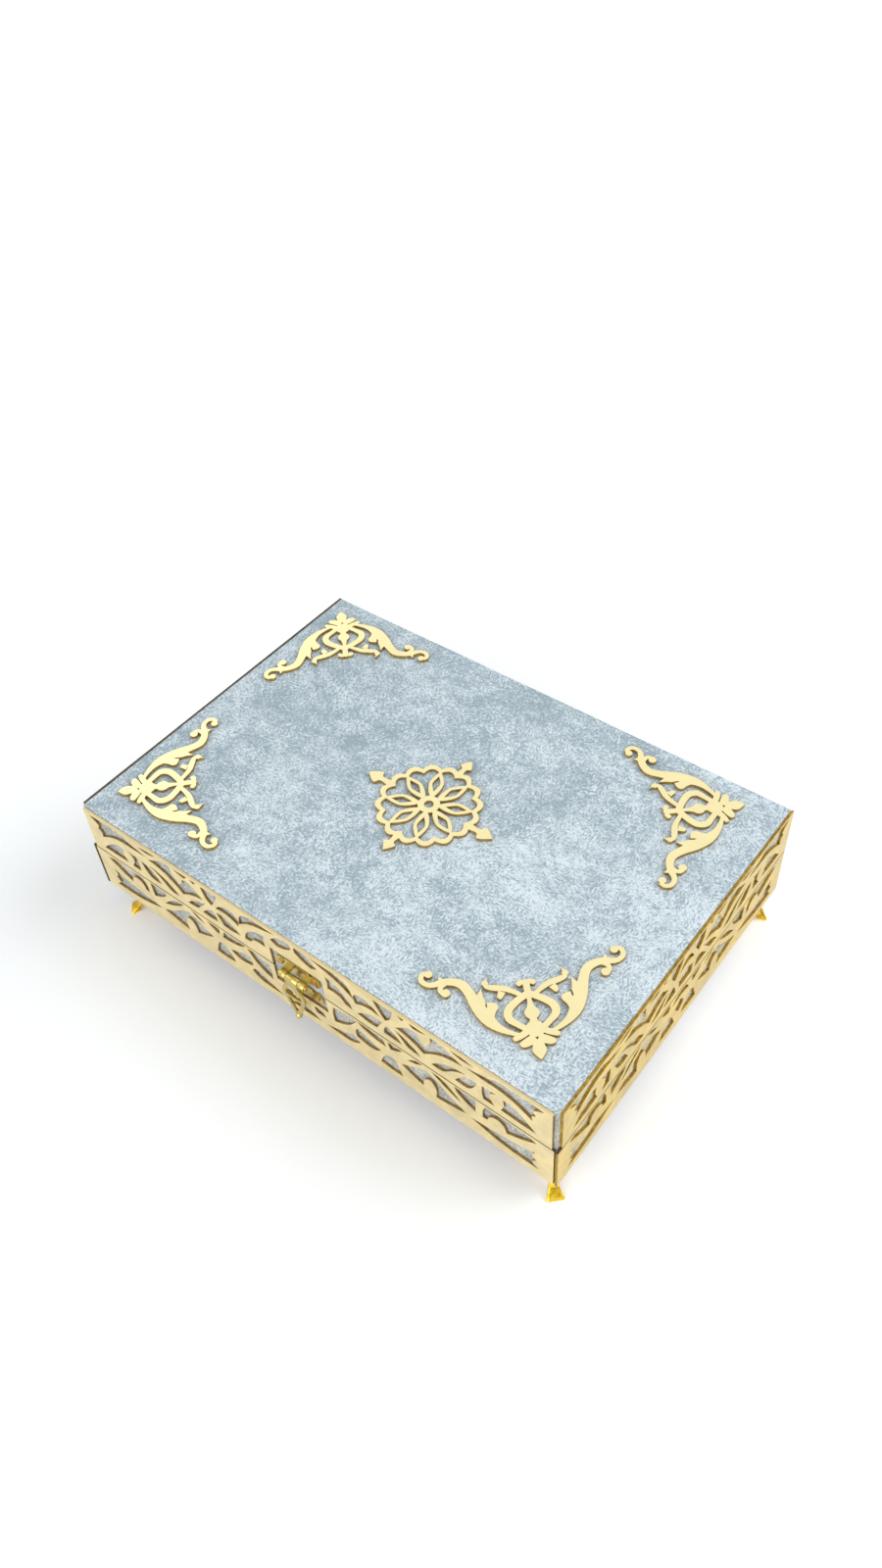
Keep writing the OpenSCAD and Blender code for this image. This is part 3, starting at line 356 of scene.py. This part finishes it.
tree, gin, gout = new_group(
    "Smears",
    [("Low", "NodeSocketFloat", 0.2), ("High", "NodeSocketFloat", 0.3), ("Size", "NodeSocketFloat", 60.0)],
    [("Value", "NodeSocketFloat"), ("Raw", "NodeSocketFloat")])
place = add(tree, "ShaderNodeTexCoord").outputs["Object"]
wide = add(tree, "ShaderNodeTexNoise", [("Vector", place), ("Scale", gin.outputs["Size"])],
           Detail=5.0, Roughness=0.7)
part = remap(tree, wide.outputs[0], 0.35, 0.65)
span = maths(tree, "SUBTRACT", gin.outputs["High"], gin.outputs["Low"])
value = maths(tree, "ADD", gin.outputs["Low"], maths(tree, "MULTIPLY", part, span))
tree.links.new(value, gout.inputs["Value"])
tree.links.new(part, gout.inputs["Raw"])
smears_group = tree
print("groups:", facing_group.name, smears_group.name)


# %% Metal and board finishes
def metal(name, colour, low, high, size=60.0):
    """Plated metal: one colour, with a roughness that wanders between low and high in smears."""
    material, tree, shader = new_material(name, Metallic=1.0)
    shader.inputs["Base Color"].default_value = (*colour, 1)
    smear = add(tree, "ShaderNodeGroup", node_tree=smears_group, Low=low, High=high, Size=size)
    tree.links.new(smear.outputs["Value"], shader.inputs["Roughness"])
    return material


def cast(name, colour, deep, low, high, size):
    """A plated casting: as metal, but deeper in colour in the hollow over the toe.
    The hollow starts above the lip, fades out towards the waist, and is deepest in patches."""
    material = metal(name, colour, low, high, size)
    tree = material.node_tree
    up = parts_of(tree, "Object")["Z"]
    above_lip = remap(tree, up, 1.2 * MM, 2.0 * MM)
    below_waist = remap(tree, up, 3.4 * MM, 6.5 * MM, 1.0, 0.0)
    patch = add(tree, "ShaderNodeGroup", node_tree=smears_group, Size=240.0)
    hollow = maths(tree, "MULTIPLY", maths(tree, "MULTIPLY", above_lip, below_waist),
                   remap(tree, patch.outputs["Raw"], 0.0, 1.0, 0.35, 1.0))
    shader = tree.nodes["Principled BSDF"]
    tree.links.new(mix_colour(tree, hollow, colour, deep), shader.inputs["Base Color"])
    return material


def gilt(name, axis, face, patch_dark, rough, shine, edges, rim=None, seam=None):
    """Gilt on the face that looks along axis, darker by a factor in random patches, and a burnt, matt edge.
    rough holds the face's two roughnesses, and edges the edge's two colours. Above the height rim the edge is
    painted paler, a painted light on the top edge that faces up. Within a millimetre of the height seam it is
    painted dark, a painted shadow in the gap between the panels."""
    material, tree, shader = new_material(name)
    facing = add(tree, "ShaderNodeGroup", node_tree=facing_group, Axis=axis)
    face_smear = add(tree, "ShaderNodeGroup", node_tree=smears_group, Low=rough[0], High=rough[1], Size=90.0)
    burn = add(tree, "ShaderNodeGroup", node_tree=smears_group, Size=420.0)
    tone = mix_colour(tree, face_smear.outputs["Raw"], tuple(patch_dark * v for v in face), face)
    edge = mix_colour(tree, burn.outputs["Raw"], *edges)
    # Painted shadow: the cut edge goes dark near the gap between the lid's and the base's panels.
    if seam:
        near = maths(tree, "COMPARE", parts_of(tree, "Object")["Z"], seam)
        near.node.inputs[2].default_value = 1.0 * MM
        edge = mix_colour(tree, near, edge, srgb(86, 64, 32))
    # Painted light: the cut edge above rim turns most of the way to the face colour.
    if rim:
        above = maths(tree, "GREATER_THAN", parts_of(tree, "Object")["Z"], rim)
        edge = mix_colour(tree, maths(tree, "MULTIPLY", above, 0.75), edge, face)
    mask = facing.outputs["Facing"]
    tree.links.new(mix_colour(tree, mask, edge, tone), shader.inputs["Base Color"])
    tree.links.new(maths(tree, "MULTIPLY", mask, shine), shader.inputs["Metallic"])
    rough = maths(tree, "ADD", maths(tree, "MULTIPLY", mask, face_smear.outputs["Value"]),
                  maths(tree, "MULTIPLY", maths(tree, "SUBTRACT", 1.0, mask), 0.8))
    tree.links.new(rough, shader.inputs["Roughness"])
    return material


def board(name, dark, light):
    """Raw fibreboard: fine flecks of two browns, with no shine."""
    material, tree, shader = new_material(name, Roughness=0.85)
    fleck = add(tree, "ShaderNodeGroup", node_tree=smears_group, Size=700.0)
    tree.links.new(mix_colour(tree, fleck.outputs["Raw"], dark, light), shader.inputs["Base Color"])
    return material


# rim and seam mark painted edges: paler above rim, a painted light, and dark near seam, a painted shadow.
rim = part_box("lid_fret_front")[1][2] - 0.4 * MM
seam = (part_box("lid_fret_front")[0][2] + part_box("base_fret_front")[1][2]) / 2
# One foil on one board for every wall; the walls' colours differ as painted light and shade. The left
# a painted light and reflection.
# wall's edges are darker, a painted shade; the right wall's face is yellower and its edges more golden,
foil = {
    "front": gilt("fret_front", (0, -1, 0), srgb(246, 225, 168), 0.8, (0.34, 0.46), 0.45,
                  (srgb(120, 94, 46), srgb(184, 148, 82)), rim, seam),
    "left": gilt("fret_left", (-1, 0, 0), srgb(242, 222, 168), 0.8, (0.34, 0.46), 0.45,
                 (srgb(62, 52, 40), srgb(104, 88, 64)), None, seam),
    "right": gilt("fret_right", (1, 0, 0), srgb(243, 213, 124), 0.7, (0.3, 0.42), 0.5,
                  (srgb(120, 92, 26), srgb(196, 156, 50)), None, seam),
}
mirror = gilt("mirror_gold", (0, 0, 1), srgb(245, 229, 174), 0.95, (0.16, 0.26), 0.95,
              (srgb(128, 102, 48), srgb(186, 154, 82)))
foot_gold = cast("foot_gold", srgb(255, 214, 76), srgb(178, 138, 10), 0.12, 0.22, 120.0)
clasp_gold = metal("clasp_gold", srgb(204, 184, 112), 0.14, 0.26, 150.0)
hinge_brass = metal("hinge_brass", srgb(214, 178, 104), 0.22, 0.36, 150.0)
small_brass = metal("brass_small", srgb(218, 182, 104), 0.2, 0.32, 300.0)
fibreboard = board("fibreboard", srgb(120, 92, 62), srgb(152, 120, 84))
print("finishes:", len(bpy.data.materials))

# %% [markdown]
# ## Pieces that keep their CAD solids
# Cut board and small metal parts are already right. A narrow bevel takes the knife edge off them, since no
# real edge is perfectly sharp, and lets it catch a thin line of light.


# %% Finish the CAD pieces
def finish_node(name, material, bevel):
    """Gives a CAD node its finish and a bevel of that many millimetres, on edges sharper than 35 degrees."""
    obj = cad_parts[name]
    obj.data.materials.clear()
    obj.data.materials.append(material)
    if bevel:
        weld = obj.modifiers.new("weld", "WELD")
        weld.merge_threshold = WELD
        cut = obj.modifiers.new("bevel", "BEVEL")
        cut.width = bevel * MM
        cut.segments = 2
        cut.limit_method = "ANGLE"
        cut.angle_limit = math.radians(35)


for part in ("lid", "base"):
    for side in ("front", "left", "right"):
        finish_node(f"{part}_fret_{side}", foil[side], 0.12)
for corner in ("front_left", "front_right", "back_left", "back_right"):
    finish_node("lid_corner_" + corner, mirror, 0.1)
finish_node("lid_medallion", mirror, 0.1)
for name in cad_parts:
    if name.endswith("board") or name == "base_floor":
        finish_node(name, fibreboard, 0)
    elif "screws" in name or "_pin" in name:
        finish_node(name, small_brass, 0.12)
    elif name.startswith("hinge_"):
        finish_node(name, hinge_brass, 0.15)
    elif name.startswith("clasp_"):
        finish_node(name, clasp_gold, 0.2)
print("finished:", sum(1 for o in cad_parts.values() if o.modifiers), "pieces with bevels")

# %% [markdown]
# ## Velvet
# One cloth is stretched over the lid: it starts at the inner edge of the rim, turns up over the walls and
# closes over the top. A strip of the same cloth goes round the base. As surfaces they are rings: one
# parameter goes round the box, and the other follows the cloth's section from hem to middle.


# %% Cloth over the lid and round the base
def soften(grid, amount, seed):
    """Moves a cloth's points by slow waves, and by fine ones a sixth as high, so no face is quite flat."""
    slow = np.stack([value_noise(grid, 30 * MM, seed + i) for i in range(3)], -1)
    fine = np.stack([value_noise(grid, 4 * MM, seed + 7 + i) for i in range(3)], -1)
    return grid + amount * (slow + fine / 6)


wrap_low, wrap_high = (np.array(v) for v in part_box("lid_velvet"))
depth_half = (wrap_high[1] - wrap_low[1]) / 2
rim_in = (wrap_high[0] - wrap_low[0]) / 2 - (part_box("lid_pad")[1][0] + 0.4 * MM)
slack, step, cloth_t = 0.15 * MM, 2 * MM, 0.6 * MM
corner_r, turn, fold = 1.2 * MM, 1.2 * MM, 0.6 * MM
z0, z1 = wrap_low[2] + slack, wrap_high[2] - slack
lid_section = np.vstack([
    straight((rim_in, z0), (fold, z0), step), quarter((fold, z0 + fold), fold, 270, 180, 4),
    straight((0, z0 + fold), (0, z1 - turn), step), quarter((turn, z1 - turn), turn, 180, 90, 5),
    straight((turn, z1), (depth_half - slack, z1), step), (depth_half - slack, z1),
])
lid_cloth = soften(box_wrap(wrap_low + slack, wrap_high - slack, lid_section, corner_r), 0.12 * MM, 3)
lid_wrap = make_object("velvet_lid", *joined((lid_cloth, True)), velvet_blue, cloth_t)
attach(lid_wrap, "lid")
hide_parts("lid_velvet")

wrap_low, wrap_high = (np.array(v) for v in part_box("base_velvet"))
z0, z1 = wrap_low[2] + slack, wrap_high[2] - slack
base_section = np.vstack([
    (turn, z0), straight((0, z0 + 0.2 * MM), (0, z1 - fold), step),
    quarter((fold, z1 - fold), fold, 180, 90, 4),
    straight((fold, z1), (rim_in, z1), step), (rim_in, z1),
])
base_cloth = soften(box_wrap(wrap_low + slack, wrap_high - slack, base_section, corner_r), 0.08 * MM, 21)
base_wrap = make_object("velvet_base", *joined((base_cloth, True)), velvet_blue, cloth_t)
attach(base_wrap, "base")
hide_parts("base_velvet")

# %% [markdown]
# The cloth's flat size follows from the box: the top and one wall with its hem on each side. The four corners
# of the lid's cut are open squares, so its area is less than its outline. The base's strip is as long as the
# way round the box.

# %% [markdown]
# ## Lining and pads
# Inside, a thinner cloth covers the walls, and foam pads lie on the floor and under the lid. A pad's surface
# rises from its edge in a rounded shoulder and swells a little to the middle, as foam does under stretched
# cloth.


# %% Wall linings
def lining(name, node, body, seed):
    """A cloth on the inner walls: rings at the cavity's size, from the floor to the rim."""
    low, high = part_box(node)
    thick = 0.9 * MM
    section = np.vstack([straight((thick, low[2]), (thick, high[2]), step), (thick, high[2])])
    grid = soften(box_wrap(low, high, section, corner_r, (150, 100, 4)), 0.06 * MM, seed)
    obj = make_object(name, *joined((grid[::-1], True)), lining_blue, 0.7 * MM)
    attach(obj, body)
    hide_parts(node)


lining("lining_base", "base_lining", "base", 31)
lining("lining_lid", "lid_lining", "lid", 41)


# %% Pads
def pad(name, node, body, up, seed):
    """A foam pad: a side wall, a rounded shoulder, and a face that swells in a parabola to the middle."""
    low, high = (np.array(v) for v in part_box(node))
    half = (high[1] - low[1]) / 2
    back, face = (low[2], high[2]) if up > 0 else (high[2], low[2])
    shoulder, swell = 2.4 * MM, 0.5 * MM
    base_face = face - up * (swell + shoulder)
    t = np.linspace(0.2, math.pi / 2, 6)
    rounded = np.stack([shoulder * (1 - np.cos(t)), base_face + up * shoulder * np.sin(t)], -1)
    d = np.linspace(shoulder, half, 40)[1:]
    rise = swell * (1 - (1 - d / half) ** 2)
    crown = np.stack([d, face - up * swell + up * rise], -1)
    section = np.vstack([[(half, back), (0, back), (0, base_face)], rounded, crown])
    grid = soften(box_wrap(low, high, section, 3 * MM, (120, 80, 5)), 0.1 * MM, seed)
    grid = np.clip(grid, low, high)
    grid[:2, :, 2] = back
    obj = make_object(name, *joined((grid if up > 0 else grid[:, ::-1], True)), lining_blue)
    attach(obj, body)
    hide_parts(node)


pad("pad_base", "base_pad", "base", 1, 51)
pad("pad_lid", "lid_pad", "lid", -1, 61)

# %% [markdown]
# ## Feet
# The feet are cast and plated: a leg that leans out to the corner, thin at its waist and wide at a lobed toe,
# under a flat corner plate. The leg is a stack of rounded sections. Its sides follow smooth curves through a
# few heights, which come from the CAD foot.


# %% Foot surface
def smooth_through(xs, ys, x):
    """A curve through the points (xs, ys) with matched slopes, read at x: cubic Hermite pieces."""
    xs, ys = np.array(xs, float), np.array(ys, float)
    slope = np.gradient(ys, xs)
    i = np.clip(np.searchsorted(xs, x) - 1, 0, len(xs) - 2)
    h = xs[i + 1] - xs[i]
    t = (x - xs[i]) / h
    return ((2 * t**3 - 3 * t**2 + 1) * ys[i] + (t**3 - 2 * t**2 + t) * h * slope[i]
            + (3 * t**2 - 2 * t**3) * ys[i + 1] + (t**3 - t**2) * h * slope[i + 1])


def leg_grid(height, around=48, levels=40):
    """A leg in its own frame, in millimetres: x inward on the diagonal, y across, z up. Each level is a
    superellipse between an outer and an inner curve. The toe has three lobes on its outside, and fans out
    towards it."""
    lobe_depth, fan, toe_top = 0.1, 0.5, 0.42
    z = np.linspace(0, 1, levels) ** 1.4 * height
    marks = np.array([0, 0.05, 0.1, 0.2, 0.5, 0.8, 1.0]) * height
    outer = smooth_through(marks, [1.1, 0.9, 1.6, 4.2, 7.4, 9.7, 10.9], z)
    inner = smooth_through(marks, [6.4, 6.6, 6.9, 7.8, 11.2, 15.4, 18.7], z)
    half = smooth_through(marks, [4.9, 5.1, 4.6, 3.5, 2.45, 3.8, 5.4], z)
    angle = np.linspace(0, 2 * math.pi, around, endpoint=False)
    c, s = np.cos(angle), np.sin(angle)
    square = np.interp(z / height, [0, 0.12, 0.5, 1], [0.28, 0.36, 0.75, 0.6])[:, None]
    px = np.sign(c) * np.abs(c) ** square
    py = np.sign(s) * np.abs(s) ** square
    toe = np.clip(1 - z / (toe_top * height), 0, 1)[:, None]
    lobe = 1 - lobe_depth * toe * (1 - np.abs(np.cos(1.5 * math.pi * py))) * (c < 0)
    middle, reach = (outer + inner)[:, None] / 2, (inner - outer)[:, None] / 2
    x = middle + reach * px * lobe
    y = half[:, None] * py * (1 - fan * toe * (px + 1) / 2)
    leg = np.stack([x, y, np.broadcast_to(z[:, None], x.shape)], -1)
    sole, head = (np.broadcast_to(leg[i].mean(0), leg[i].shape) for i in (0, -1))
    return np.concatenate([sole[None], leg, head[None]])


def plate_grid(edge, side, arc, low, high, steps=24):
    """A corner plate with a hollow inner edge: rays from the inner corner go from an arc to the far sides."""
    t = np.linspace(0, math.pi / 2, steps + 1)
    reach = side / np.maximum(np.cos(t), np.sin(t))
    direction = -np.stack([np.cos(t), np.sin(t)], -1)
    near, far = edge + side + direction * arc, edge + side + direction * reach[:, None]
    loop = ((near, low), (near, high), (far, high), (far, low))
    grid = np.stack([np.insert(p, 2, z, axis=1) for p, z in loop], 1)
    start, end = (np.broadcast_to(grid[i].mean(0), grid[i].shape) for i in (0, -1))
    return np.concatenate([start[None], grid, end[None]])


# %% Place the feet
SQ = math.sqrt(0.5)
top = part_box("foot_front_right")[1][2] / MM
plate_edge, plate_side, plate_hollow, plate_t = 4.0, 24.0, 13.0, 1.4
leg = leg_grid(top - plate_t)
leg = np.stack([SQ * (leg[..., 0] - leg[..., 1]), SQ * (leg[..., 0] + leg[..., 1]), leg[..., 2]], -1)
plate = plate_grid(plate_edge, plate_side, plate_hollow, top - plate_t, top)
plate_far = plate_edge + plate_side
for side_x, side_y, name in (
        (-1, -1, "front_left"), (1, -1, "front_right"), (-1, 1, "back_left"), (1, 1, "back_right")):
    low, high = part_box("foot_" + name)
    origin = np.array([low[0] + plate_far * MM if side_x > 0 else high[0] - plate_far * MM,
                       high[1] - plate_far * MM if side_y < 0 else low[1] + plate_far * MM, 0])
    flip = np.array([-side_x, -side_y, 1])
    grids = []
    for g in (leg, plate):
        placed = g * flip * MM + origin
        grids.append((placed if side_x == side_y else placed[:, ::-1], True))
    foot = make_object("cast_foot_" + name, *joined(*grids), foot_gold)
    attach(foot, "base")
    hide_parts("foot_" + name)

# %% [markdown]
# ## Studio
# The box stands on a wide white floor. Soft light comes from all round. One large lamp behind and above
# throws the shadow forward, and a larger one in front fills the front wall. Together they light a face at
# about one, so a colour looks as it is written. The sky and the floor are brighter for the camera and for
# reflections than for the light they give, which keeps the picture's ground white and the polished gold
# bright.


# %% Floor and sky
def seen_rays(tree):
    """Two masks: the rays straight from the camera, and those together with what a gloss or a clear thing
    shows."""
    path = add(tree, "ShaderNodeLightPath").outputs
    second_hand = maths(tree, "ADD", path["Is Glossy Ray"], path["Is Transmission Ray"])
    return path["Is Camera Ray"], maths(tree, "ADD", path["Is Camera Ray"], second_hand)


floor_material, tree, shader = new_material("floor", Roughness=0.9)
shader.inputs["Base Color"].default_value = (0.91, 0.93, 0.945, 1)
place = add(tree, "ShaderNodeTexCoord").outputs["Object"]
off = add(tree, "ShaderNodeVectorMath", [(0, place)], operation="SUBTRACT")
off.inputs[1].default_value = (-0.08, -0.2, 0)
away = add(tree, "ShaderNodeVectorMath", [(0, off.outputs[0])], operation="LENGTH").outputs["Value"]
depth = add(tree, "ShaderNodeSeparateXYZ", [("Vector", place)]).outputs["Y"]
shadow_glow, open_glow, far_glow = 0.15, 0.28, 0.5
near = maths(tree, "MAXIMUM", remap(tree, away, 0.14, 0.42, shadow_glow, open_glow),
             remap(tree, depth, -0.12, 0.02, shadow_glow, open_glow))
far = remap(tree, away, 0.42, 3.0, 0.0, far_glow)
glow = maths(tree, "MULTIPLY", seen_rays(tree)[1], maths(tree, "ADD", near, far))
tree.links.new(glow, shader.inputs["Emission Strength"])
shader.inputs["Emission Color"].default_value = (1, 1, 1, 1)
reach = np.linspace(-6, 6, 13)
floor_points = np.stack([*np.meshgrid(reach, reach), np.zeros((reach.size, reach.size))], -1)
floor = make_object("floor", *joined((floor_points, False)), floor_material)

world = bpy.data.worlds.new("studio")
bpy.context.scene.world = world
world.use_nodes = True
tree = world.node_tree
sky = tree.nodes["Background"]
look = parts_of(tree, "Generated")
height = remap(tree, look["Z"], 0.0, 0.5, 0.4, 1.0)
left = remap(tree, look["X"], -0.62, -0.53, 1.4, 1.0)
direct, seen = seen_rays(tree)
shade = maths(tree, "MAXIMUM", maths(tree, "MULTIPLY", height, left), direct)
tone = add(tree, "ShaderNodeCombineColor")
for key, tint in (("Red", 0.96), ("Green", 0.985), ("Blue", 1.0)):
    tree.links.new(maths(tree, "MULTIPLY", shade, tint), tone.inputs[key])
tree.links.new(tone.outputs[0], sky.inputs["Color"])
given_light, seen_light = 0.5, 1.15
tree.links.new(remap(tree, seen, 0.0, 1.0, given_light, seen_light), sky.inputs["Strength"])
print("sky nodes:", len(tree.nodes))


# %% Lights
def softbox(name, place, aim, size, power):
    """A square area light at place, turned to aim."""
    light = bpy.data.lights.new(name, "AREA")
    light.energy, light.size = power, size
    obj = bpy.data.objects.new(name, light)
    toward = np.array(aim, float) - np.array(place, float)
    back = -toward / np.linalg.norm(toward)
    side = np.cross((0, 0, 1), back)
    side /= np.linalg.norm(side)
    up = np.cross(back, side)
    rows = [[*row, p] for row, p in zip(np.stack([side, up, back], -1), place)]
    obj.matrix_world = Matrix(rows + [[0, 0, 0, 1]])
    bpy.context.scene.collection.objects.link(obj)


box_middle = (0, 0, 0.05)
softbox("key", (1.1, 0.8, 1.5), box_middle, 1.2, 17)
softbox("fill", (0.1, -1.85, 0.9), box_middle, 2.0, 23)

# %% [markdown]
# ## Camera
# The camera's place was worked out from the picture: eight corners of the box, whose sides are known, fix
# where the camera stood and how wide it saw. Its place is measured from the front wall's face and lower edge.
# Its three axes are written as rows: right, up and backward.

# %% Camera
scene = bpy.context.scene
camera = bpy.data.cameras.new("camera")
camera.sensor_width = 36
camera.lens = 28.01
camera.clip_start, camera.clip_end = 0.02, 40
lens = bpy.data.objects.new("camera", camera)
front_face, lower_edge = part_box("lid_fret_front")[0][1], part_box("base_fret_front")[0][2]
place = np.array([0.296152, -0.217686 + front_face, 0.557330 + lower_edge])
axes = np.array([[0.78856, 0.61274, -0.05211], [-0.42071, 0.59935, 0.68102], [0.44852, -0.51510, 0.73041]])
lens.matrix_world = Matrix([[*axes[:, i], place[i]] for i in range(3)] + [[0, 0, 0, 1]])
scene.collection.objects.link(lens)
scene.camera = lens
scene.view_settings.view_transform = "Standard"
print("camera at", place.round(3))
